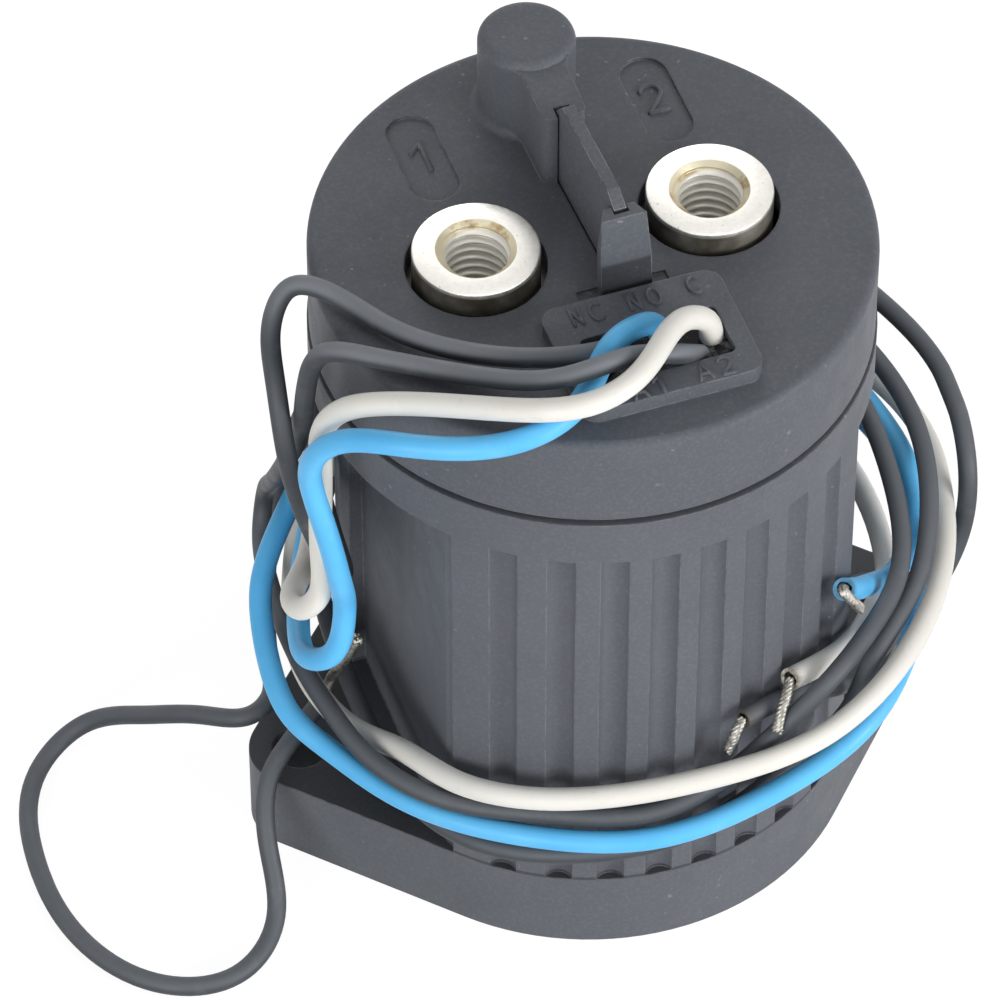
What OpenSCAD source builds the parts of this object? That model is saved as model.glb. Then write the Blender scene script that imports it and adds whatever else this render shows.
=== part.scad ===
// High voltage dc contactor: a sealed single pole power relay in a fluted round housing with two mounting
// ears, two threaded power terminals in a moulded cap with an insulating barrier, four flying leads for
// the coil and the auxiliary contact, and the switching mechanism inside.
// Millimetres, +Z up, origin at the centre of the base, front (lead outlet) towards -Y.

/* [Housing] */
// Outer radius of the fluted body
body_r = 31.2; // [30:0.1:36]
// Height of the body up to the joint under the cap
body_h = 71; // [66:0.5:90]
// Height of the base flange and its ears
base_h = 10.9; // [6:0.1:14]
// Height of the plain collar at the top of the body
collar_h = 6; // [4:0.5:12]
// Distance from the axis to each flat side above an ear
flat_half = 23.6; // [23.2:0.1:27]
// Wall thickness of the housing
wall = 2.4; // [1.6:0.1:2.6]
// Thickness of the housing floor
floor_t = 4; // [2:0.5:8]

/* [Ears] */
// Distance between the two mounting holes
ear_pitch = 69.85; // [68:0.05:84]
// Radius of each ear's end
ear_r = 5.9; // [5:0.1:10]
// Diameter of each mounting hole
ear_hole_d = 6.4; // [4:0.1:8.4]

/* [Flutes] */
// Distance between flutes, measured across the front
flute_pitch = 5.45; // [4.6:0.05:6]
// Width of each flute
flute_w = 3.2; // [2:0.1:4]
// Depth of each flute
flute_depth = 1.05; // [0.4:0.05:1.3]
// Number of flutes on each side of the centre line
flute_count = 5; // [2:1:5]

/* [Cap] */
// Height of the cap above the joint
cap_h = 11.5; // [9:0.5:18]
// Height of the open joint line between body and cap
joint_gap = 0.8; // [0.4:0.1:1.5]
// How far the cap's side stands inside the body's side
cap_inset = 0.2; // [0:0.1:1]
// Thickness of the cap's top
cap_t = 3; // [2:0.1:4]
// Radius of the rounded edge round the cap's top
cap_edge_r = 1; // [0.4:0.1:1.6]

/* [Tower and barrier] */
// Radius of the round tower at the back of the cap
tower_r = 5.4; // [4.8:0.1:5.8]
// Height of the tower above the cap's top
tower_h = 10.7; // [8:0.1:16]
// Distance of the tower behind the axis
tower_y = 21.5; // [21.3:0.1:22.5]
// Width of the snout that holds the barrier
snout_w = 5; // [3.4:0.1:5.2]
// Thickness of the barrier plate
barrier_t = 1.4; // [1:0.1:2]
// Height of the barrier plate above the cap's top
barrier_h = 11.9; // [10.4:0.1:13]

/* [Lead outlet] */
// Width of the raised frame round the lead outlet
frame_w = 20.4; // [19:0.1:24]
// Depth of the raised frame from front to back
frame_d = 15.6; // [13:0.1:15.8]
// Height of the raised frame
frame_h = 1.8; // [1:0.1:3]
// Width of the outlet window
window_w = 15.4; // [15:0.1:17]
// Depth of the outlet window from front to back
window_d = 7; // [6.8:0.1:9]

/* [Terminals] */
// Distance of each terminal from the axis
terminal_x = 13.4; // [13:0.1:14]
// Radius of the terminal's face
terminal_r = 7; // [6:0.1:7.4]
// Height of the terminal's face above the cap's top
terminal_stand = 2.5; // [1:0.1:4]
// Wall diameter of the threaded hole
thread_d = 6.7; // [5:0.1:8.5]
// Depth of the threaded hole
thread_depth = 11; // [8:0.5:12]
// Clear gap round each terminal
terminal_gap = 0.75; // [0.3:0.05:1.2]

/* [Switching] */
// Gap between fixed and moving contacts at rest
contact_gap = 2.05; // [1.2:0.05:2.4]
// Extra travel of the armature after the contacts meet
overtravel = 0.55; // [0.3:0.05:1]
// Radius of the moving core
core_r = 6.5; // [5:0.1:7]
// Running clearance of sliding pieces
slide_gap = 0.05; // [0.02:0.01:0.1]

/* [Leads] */
// Outer diameter of the two black leads
black_d = 2.2; // [1.6:0.1:2.2]
// Outer diameter of the blue and white leads
colour_d = 2.6; // [1.8:0.1:2.6]
// Diameter of the bare twisted strands
strand_d = 1.3; // [0.8:0.1:1.6]

/* [Hidden] */
$fn = 96;
eps = 0.01;
over = 1;

// housing
flute_top = body_h - collar_h;
flute_r = (flute_w * flute_w / 4 + flute_depth * flute_depth) / (2 * flute_depth);
flute_axis_r = body_r + flute_r - flute_depth;
cavity_inset = 3;
cavity_r = body_r - cavity_inset;
cavity_half = flat_half - wall;
ear_x = ear_pitch / 2;
ear_tangent = acos((body_r - ear_r) / ear_x);
side_rib_w = 3.2;
side_rib_t = 1.6;
side_rib_y = 11.7;
step_depth = 4.5;
step_inset = 2.7;
step_r = body_r - step_inset;
step_z = body_h - step_depth;

// cap
cap_z = body_h + joint_gap;
cap_top = cap_z + cap_h;
cap_r = body_r - cap_inset;
cap_under = cap_top - cap_t;
spigot_gap = 0.3;
spigot_wall = 1;
cap_bore_r = step_r - spigot_gap - spigot_wall;
tower_round = 1.2;
tower_foot = 0.9;
tower_bore_r = 3.4;
tower_roof = 1.6;
snout_front = 8.8;
snout_bend_r = 3.2;
snout_corner_r = 1.1;
snout_front_h = 9.8;
snout_back_h = 10.2;
snout_drop_front = tower_h - snout_front_h;
snout_drop_back = tower_h - snout_back_h;
slit_gap = 0.2;
slit_depth = 1.6;
slot_depth = 0.8;
frame_y = -18.2;
frame_r = 2;
window_x = 0.3;
window_y = -19.2;
window_r = 0.7;
oval_x = 13.6;
oval_y = 17.1;
oval_w = 5.4;
oval_l = 13.4;
oval_depth = 0.35;
recess_w = 10.2;
recess_x = 0.4;
recess_y = -7.4;
recess_depth = 0.4;
post_x = 0.4;
post_h = 10.7;
post_break_h = 5;
post_foot_w = 5.8;
post_foot_back_w = 4.8;
post_top_w = 5.1;
post_top_back_w = 3.5;
post_front = -9.6;
post_break = -9.1;
post_top_front = -8.3;
post_top_back = -6.5;
post_back = -6.6;
potting_drop = 1.1;
potting_z = cap_top + frame_h - potting_drop;

// barrier plate
barrier_x = barrier_t / 2;
barrier_back = snout_front + slit_depth - slit_gap;
barrier_front = -7;
barrier_shoulder = -5;
barrier_slope = 1.2;
barrier_end_gap = 0.6;
barrier_back_h = 9.6;
barrier_top_gap = 0.6;
barrier_top_back = snout_front - barrier_top_gap;
barrier_turn = atan(post_x / (snout_front - barrier_front));

// terminals and arc chamber
terminal_top = cap_top + terminal_stand;
chamber_side_gap = 0.8;
chamber_r = cavity_half - chamber_side_gap;
chamber_wall = 2.4;
chamber_t = 4;
chamber_gap = 2.3;
chamber_top = cap_under - chamber_gap;
chamber_h = 29;
stem_r = 5;
thread_chamfer = 1.05;
thread_mouth_d = thread_d + 2 * thread_chamfer;
plate_t = 3;
plate_z = chamber_top - chamber_h - plate_t;
plate_top = plate_z + plate_t;
plate_gap = 0.6;
plate_r = cavity_r - wall;
plate_half = cavity_half - plate_gap;
magnet_gap = 0.6;
magnet_x = 3.2;
magnet_w = 7;
magnet_t = 3.2;
magnet_h = 17;
magnet_out = magnet_x + magnet_w;
magnet_seat = sqrt(pow(cavity_r - magnet_gap, 2) - pow(magnet_out, 2)) - magnet_t;
magnet_y = min(chamber_r + magnet_gap, magnet_seat);
exhaust_r = 1.4;
exhaust_bore = 0.9;
exhaust_gap = 0.7;
exhaust_head = 1.2;
exhaust_y = chamber_r + exhaust_r + exhaust_gap;
exhaust_top = cap_top + tower_h - tower_roof - exhaust_head;
pinch_h = 3;
pinch_t = 0.7;

// magnet circuit
yoke_r = chamber_r;
yoke_t = 2.4;
yoke_z = floor_t;
tube_t = 0.6;
tube_in = core_r + slide_gap;
tube_out = tube_in + tube_t;
tube_z = yoke_z + yoke_t;
stroke = contact_gap - slide_gap + overtravel;
pole_len = 12;
pole_z = plate_z - pole_len;
pole_flange_r = 9;
pole_flange_t = 1.5;
pole_top = plate_top + pole_flange_t;
core_len = 19.4;
core_top = pole_z - stroke;
core_z = core_top - core_len;
pad_z = tube_z + tube_t;
pad_r = core_r - 0.5;
bobbin_in = tube_out + 0.3;
bobbin_out = bobbin_in + 1;
bobbin_flange_r = yoke_r - yoke_t - 0.4;
bobbin_t = 1.6;
bobbin_z = yoke_z + yoke_t;
bobbin_top = plate_z;
coil_out = bobbin_flange_r - 1;

// moving group
shaft_r = 1.6;
spring_pocket_r = 3.6;
core_pocket = 4;
pole_pocket = 6;
contact_face_h = 15.95;
contact_face = plate_top + contact_face_h;
tip_t = 0.9;
tip_r = 4;
bridge_t = 3;
bridge_top = contact_face - contact_gap - tip_t;
bridge_z = bridge_top - bridge_t;
bridge_w = 9;
bridge_l = 33;
collar_t = 2;
collar_r = 5;
collar_drop = 4.5;
collar_z = bridge_z - collar_drop - collar_t;
clip_t = 0.8;
clip_r = 3;
shaft_top = bridge_top + clip_t + 1.6;
shaft_z = core_z + 2;
arm_w = 4;
arm_t = 1.2;
aux_y = -12.6;
aux_w = 10;
aux_d = 5;
aux_h = 2.6;
button_r = 0.9;
button_h = collar_z - 0.1 - plate_top - aux_h;
return_wire = 0.6;
contact_wire = 0.8;
return_mean_r = 2.9;
contact_mean_r = 2.9;

// leads: the route of each lead from the outlet window to its stripped end
lead_steps = 2;
lead_sides = 8;
black_1_route = [
    [-3, -17, 84], [-8, -19, 86.5], [-15, -16.5, 86], [-25, -8, 85], [-29.5, -1, 85], [-33.5, 2, 85],
    [-36, 1.5, 81.5], [-36.5, 0, 74], [-36.5, -3, 66], [-35, -4, 56], [-33, -6.5, 49.5], [-31, -5.5, 45.5],
    [-30, 0, 44], [-29, 9, 45], [-25, 21.5, 47.5], [-13, 30.5, 48.5], [3, 33, 48.5], [20, 30.5, 47],
    [33.5, 18, 43.5], [38.5, 3, 41.5], [37, -10, 40.5], [32.2, -19.8, 36.7], [27.2, -24.6, 35],
    [23, -28, 33], [20.5, -28.5, 27], [14.5, -29.5, 22.5], [1, -33, 19.5], [-14, -31.2, 19],
    [-22.8, -25.6, 18.5], [-27.5, -16, 17.8], [-28.2, -5, 17.3], [-28, 6, 17.3], [-26, 20.5, 18.5],
    [-19, 33, 19], [-7, 40.5, 22], [13, 40.5, 33], [32.5, 29, 43], [41, 13.5, 44], [44, 2.5, 42],
    [43, -7.5, 37], [41, -10.5, 29], [36, -13.5, 24], [29, -17.5, 22.5], [21, -25, 27.5], [14, -29.5, 34],
    [6.4, -32.3, 35.7]];
black_2_route = [
    [4.5, -21, 84], [2, -22, 86], [-2.5, -22.5, 88], [-7, -24.5, 90.5], [-12, -24, 89.5], [-20, -17.5, 86],
    [-29, -10.5, 85], [-33, -7.5, 84], [-34.5, -5.5, 78], [-34, -1.5, 67], [-32.8, 9.5, 48.5],
    [-31.3, 20.2, 33.5], [-31, 23.6, 27.5], [-32.2, 21.5, 23.8], [-33.6, 15, 23.8], [-34.5, 6, 25],
    [-34.5, -2, 25.7], [-33.6, -8.5, 25.7], [-31.9, -14.5, 25], [-26.5, -22.4, 24.3], [-15, -29.5, 24.5],
    [-4, -33, 24.5], [4, -32.5, 26.5], [9.5, -33, 32], [16, -32.5, 38], [22.8, -27.6, 38.6],
    [30, -19.4, 38.6], [33, -8.5, 41], [32.5, 7, 43.5], [24.5, 22.5, 45], [12, 34.5, 43.5],
    [-2, 39.5, 38.5], [-19, 37.5, 29.5], [-26.5, 31, 22.5], [-30.5, 24, 19], [-33.5, 16.5, 17],
    [-35.5, 9, 16], [-37, 4.5, 15.5], [-40, 3, 15], [-44.5, 6, 13.5], [-50, 12, 9], [-56, 17, 4],
    [-62.5, 14, 1.5], [-66.5, 2, 1.5], [-65.5, -10, 1.5], [-59, -20, 1.5], [-50, -22, 1.5],
    [-43.5, -16.5, 3], [-42.5, -11, 9], [-40.5, -6, 14.5], [-37.5, -3.8, 16.6], [-34.5, -1.5, 17.2],
    [-31.8, 0.6, 17.6]];
blue_route = [
    [1.5, -17.5, 84], [0.5, -17.5, 86.5], [-2, -18.5, 88], [-6, -21, 88.5], [-9.5, -24.5, 87],
    [-14, -27, 86], [-20.5, -27, 85], [-29, -23, 84], [-34.5, -18, 81.5], [-37, -15, 76.5], [-37, -14, 71],
    [-36, -15.5, 65], [-34.5, -15.5, 56], [-33.5, -13.5, 48.5], [-35, -14, 43], [-37, -11.5, 40],
    [-36.5, -6, 38], [-33, 3.5, 37.2], [-27.2, 15.5, 37.5], [-24.3, 22.3, 37.2], [-16.5, 29.5, 36.3],
    [0, 33.5, 33], [18, 30, 30.5], [33.5, 20.5, 28.5], [39.5, 3, 28], [36.5, -12, 28.5], [30, -23, 28.5],
    [21, -32, 28], [9, -34.5, 24], [-5, -34.5, 22], [-17, -30, 22], [-25, -24.1, 21.7],
    [-30.5, -17.8, 21.8], [-35, -11, 23], [-37.8, -6, 24.5], [-38.3, -0.5, 26.7], [-37.5, 5, 29],
    [-36.2, 8.5, 31.4], [-30.4, 15.8, 34.2], [-22, 26.3, 33], [-8, 36.5, 33], [11, 36.5, 38], [28, 24, 40],
    [35, 4, 40], [36.5, -5, 38], [36, -9.5, 33], [33, -13, 31], [27, -18.9, 36], [23.4, -22.8, 40.8],
    [20.5, -25.8, 45]];
white_route = [
    [6.5, -19, 84], [6, -19, 86.5], [3, -20, 89], [-1, -23.5, 90], [-5, -27, 90], [-11, -28.5, 89.5],
    [-20, -24, 87.5], [-28, -18, 85], [-33, -15, 83], [-35, -12.5, 78], [-35, -11, 70], [-35.5, -12, 58],
    [-36, -12.5, 51.5], [-37.5, -11, 48], [-37.5, -7, 45.5], [-34, -1, 43], [-29.5, 9, 42],
    [-23.5, 23.5, 40.5], [-10, 32, 38], [5, 33, 36], [20, 30, 34.5], [36.5, 19, 33], [42, 5.5, 32.5],
    [40.5, -6, 33.5], [36, -17.5, 34], [26.5, -29, 34], [14.5, -35.5, 33], [2, -35, 30.5], [-14, -31, 28.5],
    [-24, -24, 27.4], [-27.8, -16, 25.4], [-30.8, -9.5, 22.6], [-32.8, -2.5, 21], [-33.2, 5, 20.5],
    [-32, 11, 20.8], [-30.2, 16, 22], [-27.5, 21, 25], [-19, 28.5, 28], [0, 33.5, 29], [19, 28.5, 26.5],
    [34.5, 13, 23.5], [34, -6.5, 23], [29, -15.5, 28], [21.5, -25, 34], [12.5, -30.5, 38]];
strand_black_1_route = [[6.4, -32.3, 35.7], [5.4, -33, 35], [4.8, -33.2, 33.5], [4.3, -33.1, 32]];
strand_black_2_route = [[-31.8, 0.6, 17.6], [-31, 0.9, 19.8], [-29.8, -1, 25], [-28.3, -2.6, 30.5]];
strand_blue_route = [[20.5, -25.8, 45], [20, -26.6, 45.8], [20.8, -27, 44.5], [22.2, -26.6, 42]];
strand_white_route = [[12.5, -30.5, 38], [11.8, -31.7, 37.7], [10.6, -33.2, 36.6], [9.6, -34.3, 34.2]];

// shared curves
function unit(v) = v / norm(v);
function between(a, b, c, d, t) =
    0.5 * (2 * b + (c - a) * t + (2 * a - 5 * b + 4 * c - d) * t * t + (3 * b - a - 3 * c + d) * t * t * t);
function last(list) = len(list) - 1;
function smooth(route, steps) = [
    for (i = [0 : last(route) - 1])
        for (k = [0 : steps - 1])
            between(route[max(i - 1, 0)], route[i], route[i + 1], route[min(i + 2, last(route))], k / steps),
    route[last(route)]];
function along(path, i) = unit(path[min(i + 1, last(path))] - path[max(i - 1, 0)]);
function across(path, v, i = 0) =
    i > last(path) ? [] :
    let (t = along(path, i), n = unit(v - (v * t) * t))
    concat([n], across(path, n, i + 1));
function ring(c, t, n, r, sides) = [
    for (k = [0 : sides - 1])
        c + r * (cos(360 * k / sides) * n + sin(360 * k / sides) * cross(t, n))];
function helix(r, z0, z1, turns, per_turn) = [
    for (i = [0 : turns * per_turn])
        [r * cos(360 * i / per_turn), r * sin(360 * i / per_turn), z0 + (z1 - z0) * i / (turns * per_turn)]];

module tube(path, d, sides, start) {
    normals = across(path, start);
    rings = len(path);
    points = [for (i = [0 : rings - 1]) each ring(path[i], along(path, i), normals[i], d / 2, sides)];
    sides_a = [
        for (i = [0 : rings - 2])
            for (k = [0 : sides - 1])
                [i * sides + k, (i + 1) * sides + k, (i + 1) * sides + (k + 1) % sides]];
    sides_b = [
        for (i = [0 : rings - 2])
            for (k = [0 : sides - 1])
                [i * sides + k, (i + 1) * sides + (k + 1) % sides, i * sides + (k + 1) % sides]];
    first_cap = [[for (k = [0 : sides - 1]) k]];
    last_cap = [[for (k = [sides - 1 : -1 : 0]) (rings - 1) * sides + k]];
    polyhedron(points = points, faces = concat(sides_a, sides_b, first_cap, last_cap), convexity = 10);
}

module rounded_rectangle(w, d, r) {
    square([w - 2 * r, d], center = true);
    square([w, d - 2 * r], center = true);
    for (x = [-1, 1])
        for (y = [-1, 1])
            translate([x * (w / 2 - r), y * (d / 2 - r)])
                circle(r = r);
}

module oval(w, l) {
    square([w, l - w], center = true);
    for (y = [-1, 1])
        translate([0, y * (l - w) / 2])
            circle(d = w);
}

// outline of the base: the body circle with an ear at each side, joined by tangent walls
module base_outline() {
    circle(r = body_r);
    for (x = [-1, 1])
        mirror([x < 0 ? 1 : 0, 0]) {
            translate([ear_x, 0])
                circle(r = ear_r);
            polygon([
                body_r * [cos(ear_tangent), sin(ear_tangent)],
                [ear_x, 0] + ear_r * [cos(ear_tangent), sin(ear_tangent)],
                [ear_x, 0] + ear_r * [cos(ear_tangent), -sin(ear_tangent)],
                body_r * [cos(ear_tangent), -sin(ear_tangent)]]);
        }
}

module flutes() {
    for (side = [0, 180])
        rotate([0, 0, side])
            for (x = [-1, 1])
                for (i = [0 : flute_count - 1]) {
                    lean = asin(flute_pitch * (i + 0.5) / body_r);
                    translate([x * flute_axis_r * sin(lean), -flute_axis_r * cos(lean), base_h])
                        cylinder(r = flute_r, h = flute_top - base_h);
                }
}

module side_flats() {
    for (x = [-1, 1])
        translate([x * (flat_half + body_r / 2), 0, (base_h + flute_top) / 2])
            cube([body_r, 2 * body_r, flute_top - base_h], center = true);
}

module housing() {
    color([0.23, 0.24, 0.27])
        difference() {
            union() {
                difference() {
                    cylinder(r = body_r, h = body_h);
                    flutes();
                    side_flats();
                }
                linear_extrude(base_h)
                    base_outline();
                for (side = [0, 180])
                    rotate([0, 0, side])
                        translate([-flat_half - side_rib_t, side_rib_y - side_rib_w / 2, base_h - eps])
                            cube([side_rib_t + eps, side_rib_w, flute_top - base_h + 2 * eps]);
            }
            translate([0, 0, floor_t])
                linear_extrude(body_h)
                    intersection() {
                        circle(r = cavity_r);
                        square([2 * cavity_half, 2 * body_r], center = true);
                    }
            translate([0, 0, step_z])
                cylinder(r = step_r, h = body_h);
            for (x = [-1, 1])
                translate([x * ear_x, 0, -over])
                    cylinder(d = ear_hole_d, h = base_h + 2 * over);
        }
}

// plan of the tower and its snout, with hollow curves where the snout leaves the tower
module snout_plan(tower, half) {
    bend_x = half + snout_bend_r;
    bend_y = tower_y - sqrt(pow(tower + snout_bend_r, 2) - bend_x * bend_x);
    meet = tower / (tower + snout_bend_r);
    translate([-half, snout_front + snout_corner_r])
        square([2 * half, tower_y - snout_front - snout_corner_r]);
    hull()
        for (x = [-1, 1])
            translate([x * (half - snout_corner_r), snout_front + snout_corner_r])
                circle(r = snout_corner_r);
    for (x = [0, 1])
        mirror([x, 0])
            difference() {
                polygon([
                    [0, tower_y],
                    [meet * bend_x, tower_y + meet * (bend_y - tower_y)],
                    [bend_x, bend_y],
                    [0, bend_y]]);
                translate([bend_x, bend_y])
                    circle(r = snout_bend_r);
            }
}

module snout() {
    intersection() {
        translate([0, 0, cap_top - eps])
            linear_extrude(tower_h)
                snout_plan(tower_r, snout_w / 2);
        rotate([90, 0, 90])
            linear_extrude(4 * tower_r, center = true)
                polygon([
                    [snout_front, cap_top - eps],
                    [tower_y, cap_top - eps],
                    [tower_y, cap_top + tower_h - snout_drop_back],
                    [snout_front, cap_top + tower_h - snout_drop_front]]);
    }
}

module tower() {
    translate([0, tower_y, cap_top - eps])
        rotate_extrude() {
            square([tower_r, tower_h - tower_round]);
            square([tower_r - tower_round, tower_h]);
            translate([tower_r - tower_round, tower_h - tower_round])
                intersection() {
                    circle(r = tower_round);
                    square(tower_round);
                }
            difference() {
                square([tower_r + tower_foot, tower_foot]);
                translate([tower_r + tower_foot, tower_foot])
                    circle(r = tower_foot);
            }
        }
}

module post_level(z, front, back, front_w, back_w) {
    translate([post_x, 0, z])
        linear_extrude(eps)
            polygon([[-front_w / 2, front], [front_w / 2, front], [back_w / 2, back], [-back_w / 2, back]]);
}

module post() {
    hull() {
        post_level(cap_top - recess_depth - eps, post_front, post_back, post_foot_w, post_foot_back_w);
        post_level(cap_top + post_break_h, post_break, post_back, post_foot_w, post_foot_back_w);
        post_level(cap_top + post_h - eps, post_top_front, post_top_back, post_top_w, post_top_back_w);
    }
}

// turns the barrier and its slots from the tower's slit to the post's slot
module barrier_place() {
    translate([0, snout_front, 0])
        rotate([0, 0, barrier_turn])
            translate([0, -snout_front, 0])
                children();
}

module cap_shell() {
    difference() {
        union() {
            translate([0, 0, cap_z])
                rotate_extrude() {
                    square([cap_r, cap_h - cap_edge_r]);
                    square([cap_r - cap_edge_r, cap_h]);
                    translate([cap_r - cap_edge_r, cap_h - cap_edge_r])
                        intersection() {
                            circle(r = cap_edge_r);
                            square(cap_edge_r);
                        }
                }
            translate([0, 0, step_z])
                cylinder(r = step_r - spigot_gap, h = cap_z - step_z + eps);
        }
        translate([0, 0, step_z - over])
            cylinder(r = cap_bore_r, h = cap_under - step_z + over);
        for (x = [-1, 1]) {
            translate([x * terminal_x, 0, cap_under - over])
                cylinder(r = terminal_r + terminal_gap, h = cap_t + 2 * over);
            translate([x * oval_x, oval_y, cap_top - oval_depth])
                linear_extrude(over)
                    oval(oval_w, oval_l);
        }
        translate([recess_x - recess_w / 2, frame_y, cap_top - recess_depth])
            cube([recess_w, recess_y - frame_y, over]);
    }
}

module cap() {
    color([0.22, 0.23, 0.26])
        difference() {
            union() {
                cap_shell();
                tower();
                snout();
                post();
                translate([0, frame_y, cap_top - recess_depth])
                    linear_extrude(frame_h + recess_depth)
                        rounded_rectangle(frame_w, frame_d, frame_r);
            }
            translate([window_x, window_y, cap_under - over])
                linear_extrude(cap_t + frame_h + 2 * over)
                    rounded_rectangle(window_w, window_d, window_r);
            barrier_place() {
                translate([-barrier_x - slit_gap, snout_front - over, cap_top - slot_depth])
                    cube([barrier_t + 2 * slit_gap, slit_depth + over, tower_h + over]);
                translate([-barrier_x - slit_gap, barrier_front - barrier_end_gap, cap_top - slot_depth])
                    cube([barrier_t + 2 * slit_gap, snout_front - barrier_front + barrier_end_gap,
                        post_h + 2 * over]);
            }
            translate([0, tower_y, cap_under - over])
                cylinder(r = tower_bore_r, h = cap_t + tower_h - tower_roof + over);
        }
}

module barrier_plate() {
    color([0.21, 0.22, 0.25])
        barrier_place()
            rotate([90, 0, 90])
                linear_extrude(barrier_t, center = true)
                    polygon([
                        [barrier_front, cap_top - slot_depth],
                        [barrier_back, cap_top - slot_depth],
                        [barrier_back, cap_top + barrier_back_h],
                        [barrier_top_back, cap_top + barrier_h],
                        [barrier_shoulder, cap_top + barrier_h],
                        [barrier_front, cap_top + barrier_h - barrier_slope]]);
}

module potting() {
    color([0.03, 0.03, 0.035])
        translate([window_x, window_y, cap_under])
            linear_extrude(potting_z - cap_under)
                rounded_rectangle(window_w, window_d, window_r);
}

module terminal(x) {
    translate([x, 0, 0])
        difference() {
            union() {
                translate([0, 0, chamber_top])
                    cylinder(r = terminal_r, h = terminal_top - chamber_top);
                translate([0, 0, contact_face])
                    cylinder(r = stem_r, h = chamber_top - contact_face + eps);
            }
            translate([0, 0, terminal_top - thread_depth])
                cylinder(d = thread_d, h = thread_depth + over);
            translate([0, 0, terminal_top - thread_chamfer])
                cylinder(d1 = thread_d, d2 = thread_mouth_d + 2 * eps, h = thread_chamfer + eps);
        }
}

module terminal_1() {
    color([0.78, 0.76, 0.70])
        terminal(-terminal_x);
}

module terminal_2() {
    color([0.78, 0.76, 0.70])
        terminal(terminal_x);
}

module arc_chamber() {
    color([0.86, 0.85, 0.80])
        difference() {
            translate([0, 0, plate_top])
                cylinder(r = chamber_r, h = chamber_h);
            translate([0, 0, plate_top - over])
                cylinder(r = chamber_r - chamber_wall, h = chamber_h - chamber_t + over);
            for (x = [-1, 1])
                translate([x * terminal_x, 0, plate_top])
                    cylinder(r = stem_r + slide_gap, h = chamber_h + over);
            magnet_blocks(magnet_gap);
        }
}

module top_plate() {
    color([0.55, 0.56, 0.58])
        translate([0, 0, plate_z])
            linear_extrude(plate_t)
                difference() {
                    intersection() {
                        circle(r = plate_r);
                        square([2 * plate_half, 2 * plate_r], center = true);
                    }
                    circle(r = core_r + slide_gap);
                }
}

module yoke() {
    color([0.5, 0.51, 0.53])
        translate([0, 0, yoke_z])
            difference() {
                cylinder(r = yoke_r, h = plate_z - yoke_z);
                translate([0, 0, yoke_t])
                    cylinder(r = yoke_r - yoke_t, h = plate_z);
            }
}

module core_tube() {
    color([0.72, 0.65, 0.42])
        translate([0, 0, tube_z])
            difference() {
                cylinder(r = tube_out, h = plate_z - tube_z);
                translate([0, 0, tube_t])
                    cylinder(r = tube_in, h = plate_z);
            }
}

module pole_piece() {
    color([0.58, 0.58, 0.6])
        difference() {
            union() {
                translate([0, 0, pole_z])
                    cylinder(r = core_r, h = pole_top - pole_z);
                translate([0, 0, plate_top])
                    cylinder(r = pole_flange_r, h = pole_flange_t);
            }
            translate([0, 0, pole_z - over])
                cylinder(r = shaft_r + slide_gap, h = pole_top - pole_z + 2 * over);
            translate([0, 0, pole_z - over])
                cylinder(r = spring_pocket_r, h = pole_pocket + over);
        }
}

module rest_pad() {
    color([0.1, 0.1, 0.1])
        translate([0, 0, pad_z])
            cylinder(r = pad_r, h = core_z - pad_z);
}

module coil_bobbin() {
    color([0.85, 0.84, 0.78])
        difference() {
            union() {
                translate([0, 0, bobbin_z])
                    cylinder(r = bobbin_flange_r, h = bobbin_t);
                translate([0, 0, bobbin_top - bobbin_t])
                    cylinder(r = bobbin_flange_r, h = bobbin_t);
                translate([0, 0, bobbin_z])
                    cylinder(r = bobbin_out, h = bobbin_top - bobbin_z);
            }
            translate([0, 0, bobbin_z - over])
                cylinder(r = bobbin_in, h = bobbin_top - bobbin_z + 2 * over);
        }
}

module coil_winding() {
    color([0.62, 0.33, 0.16])
        translate([0, 0, bobbin_z + bobbin_t])
            difference() {
                cylinder(r = coil_out, h = bobbin_top - bobbin_z - 2 * bobbin_t);
                translate([0, 0, -over])
                    cylinder(r = bobbin_out, h = bobbin_top);
            }
}

module magnet_blocks(grow) {
    for (x = [-1, 1])
        for (y = [-1, 1])
            translate([x * (magnet_x + magnet_w / 2), y * (magnet_y + magnet_t / 2),
                plate_top + magnet_h / 2])
                cube([magnet_w + 2 * grow, magnet_t + 2 * grow, magnet_h + 2 * grow], center = true);
}

module arc_magnets() {
    color([0.3, 0.3, 0.31])
        magnet_blocks(0);
}

module exhaust_tube() {
    color([0.7, 0.4, 0.22])
        translate([0, exhaust_y, plate_top]) {
            difference() {
                cylinder(r = exhaust_r, h = exhaust_top - pinch_h - plate_top);
                translate([0, 0, -over])
                    cylinder(r = exhaust_bore, h = exhaust_top - pinch_h - plate_top);
            }
            translate([0, 0, exhaust_top - pinch_h / 2 - plate_top])
                cube([2 * exhaust_r, pinch_t, pinch_h], center = true);
        }
}

module aux_switch() {
    color([0.12, 0.12, 0.13])
        difference() {
            translate([-aux_w / 2, aux_y - aux_d / 2, plate_top])
                cube([aux_w, aux_d, aux_h]);
            translate([0, aux_y, plate_top + aux_h / 2])
                cylinder(r = button_r + slide_gap, h = aux_h);
        }
}

module aux_button() {
    color([0.75, 0.2, 0.15])
        translate([0, aux_y, plate_top + aux_h / 2])
            cylinder(r = button_r, h = aux_h / 2 + button_h);
}

module moving_core() {
    color([0.6, 0.6, 0.62])
        translate([0, 0, core_z])
            difference() {
                cylinder(r = core_r, h = core_len);
                translate([0, 0, core_len - core_pocket])
                    cylinder(r = spring_pocket_r, h = core_pocket + over);
                translate([0, 0, shaft_z - core_z])
                    cylinder(r = shaft_r, h = core_len);
            }
}

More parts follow.
